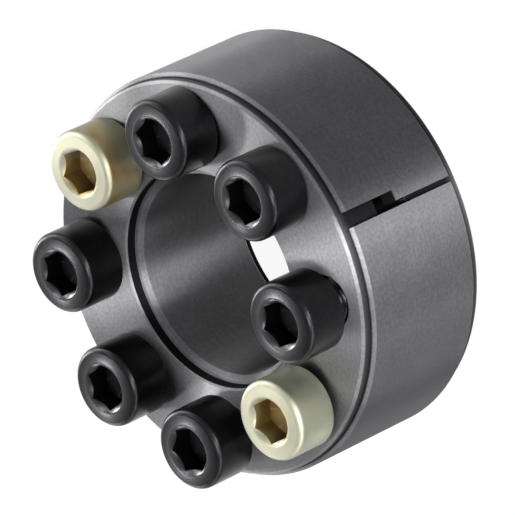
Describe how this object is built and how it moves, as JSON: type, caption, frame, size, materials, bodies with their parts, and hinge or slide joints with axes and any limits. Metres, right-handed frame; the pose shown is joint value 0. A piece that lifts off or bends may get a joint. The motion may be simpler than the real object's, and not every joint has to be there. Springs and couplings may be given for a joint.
{
  "type": "keyless locking assembly",
  "caption": "Taper locking assembly that clamps a hub to a plain shaft: slit inner and outer rings wedged by thrust rings, drawn together by socket head screws.",
  "frame": {"origin": "centre of the rear thrust face, which the part stands on", "axes": "+Z along the shaft axis towards the screw heads, -Y towards the slits of both rings"},
  "size_m": [0.05, 0.05, 0.0282],
  "materials": {
    "dark_ring_steel": "phosphated, satin dark grey",
    "black_screw_steel": "black oxide, slightly oily",
    "yellow_zinc": "yellow passivated zinc plating"
  },
  "bodies": {
    "rear_set": {"rear_thrust_ring": "dark_ring_steel", "outer_ring": "dark_ring_steel", "inner_ring": "dark_ring_steel"},
    "front_ring": {"front_thrust_ring": "dark_ring_steel"},
    "black_screw_1": {"black_screw_1": "black_screw_steel"},
    "black_screw_2": {"black_screw_2": "black_screw_steel"},
    "black_screw_3": {"black_screw_3": "black_screw_steel"},
    "black_screw_4": {"black_screw_4": "black_screw_steel"},
    "black_screw_5": {"black_screw_5": "black_screw_steel"},
    "black_screw_6": {"black_screw_6": "black_screw_steel"},
    "zinc_screw_1": {"zinc_screw_1": "yellow_zinc"},
    "zinc_screw_2": {"zinc_screw_2": "yellow_zinc"}
  },
  "joints": [
    {"name": "front_ring_slide", "type": "slide", "parent": "rear_set", "child": "front_ring", "axis": [0, 0, 1], "range_m": [0, 0.003]},
    {"name": "black_screw_1_turn", "type": "hinge", "parent": "front_ring", "child": "black_screw_1", "pos_m": [0.00727, 0.01755, 0.02], "axis": [0, 0, 1], "range_deg": [0, 1080]},
    {"name": "black_screw_2_turn", "type": "hinge", "parent": "front_ring", "child": "black_screw_2", "pos_m": [-0.00727, 0.01755, 0.02], "axis": [0, 0, 1], "range_deg": [0, 1080]},
    {"name": "black_screw_3_turn", "type": "hinge", "parent": "front_ring", "child": "black_screw_3", "pos_m": [-0.01755, 0.00727, 0.02], "axis": [0, 0, 1], "range_deg": [0, 1080]},
    {"name": "black_screw_4_turn", "type": "hinge", "parent": "front_ring", "child": "black_screw_4", "pos_m": [-0.00727, -0.01755, 0.02], "axis": [0, 0, 1], "range_deg": [0, 1080]},
    {"name": "black_screw_5_turn", "type": "hinge", "parent": "front_ring", "child": "black_screw_5", "pos_m": [0.00727, -0.01755, 0.02], "axis": [0, 0, 1], "range_deg": [0, 1080]},
    {"name": "black_screw_6_turn", "type": "hinge", "parent": "front_ring", "child": "black_screw_6", "pos_m": [0.01755, -0.00727, 0.02], "axis": [0, 0, 1], "range_deg": [0, 1080]},
    {"name": "zinc_screw_1_turn", "type": "hinge", "parent": "front_ring", "child": "zinc_screw_1", "pos_m": [0.01755, 0.00727, 0.02], "axis": [0, 0, 1], "range_deg": [0, 1080]},
    {"name": "zinc_screw_2_turn", "type": "hinge", "parent": "front_ring", "child": "zinc_screw_2", "pos_m": [-0.01755, -0.00727, 0.02], "axis": [0, 0, 1], "range_deg": [0, 1080]}
  ],
  "couplings": [
    {"joint": "black_screw_1_turn", "follows": "front_ring_slide", "rad_per_m": 6283.2},
    {"joint": "black_screw_2_turn", "follows": "front_ring_slide", "rad_per_m": 6283.2},
    {"joint": "black_screw_3_turn", "follows": "front_ring_slide", "rad_per_m": 6283.2},
    {"joint": "black_screw_4_turn", "follows": "front_ring_slide", "rad_per_m": 6283.2},
    {"joint": "black_screw_5_turn", "follows": "front_ring_slide", "rad_per_m": 6283.2},
    {"joint": "black_screw_6_turn", "follows": "front_ring_slide", "rad_per_m": 6283.2},
    {"joint": "zinc_screw_1_turn", "follows": "front_ring_slide", "rad_per_m": 6283.2},
    {"joint": "zinc_screw_2_turn", "follows": "front_ring_slide", "rad_per_m": 6283.2}
  ]
}
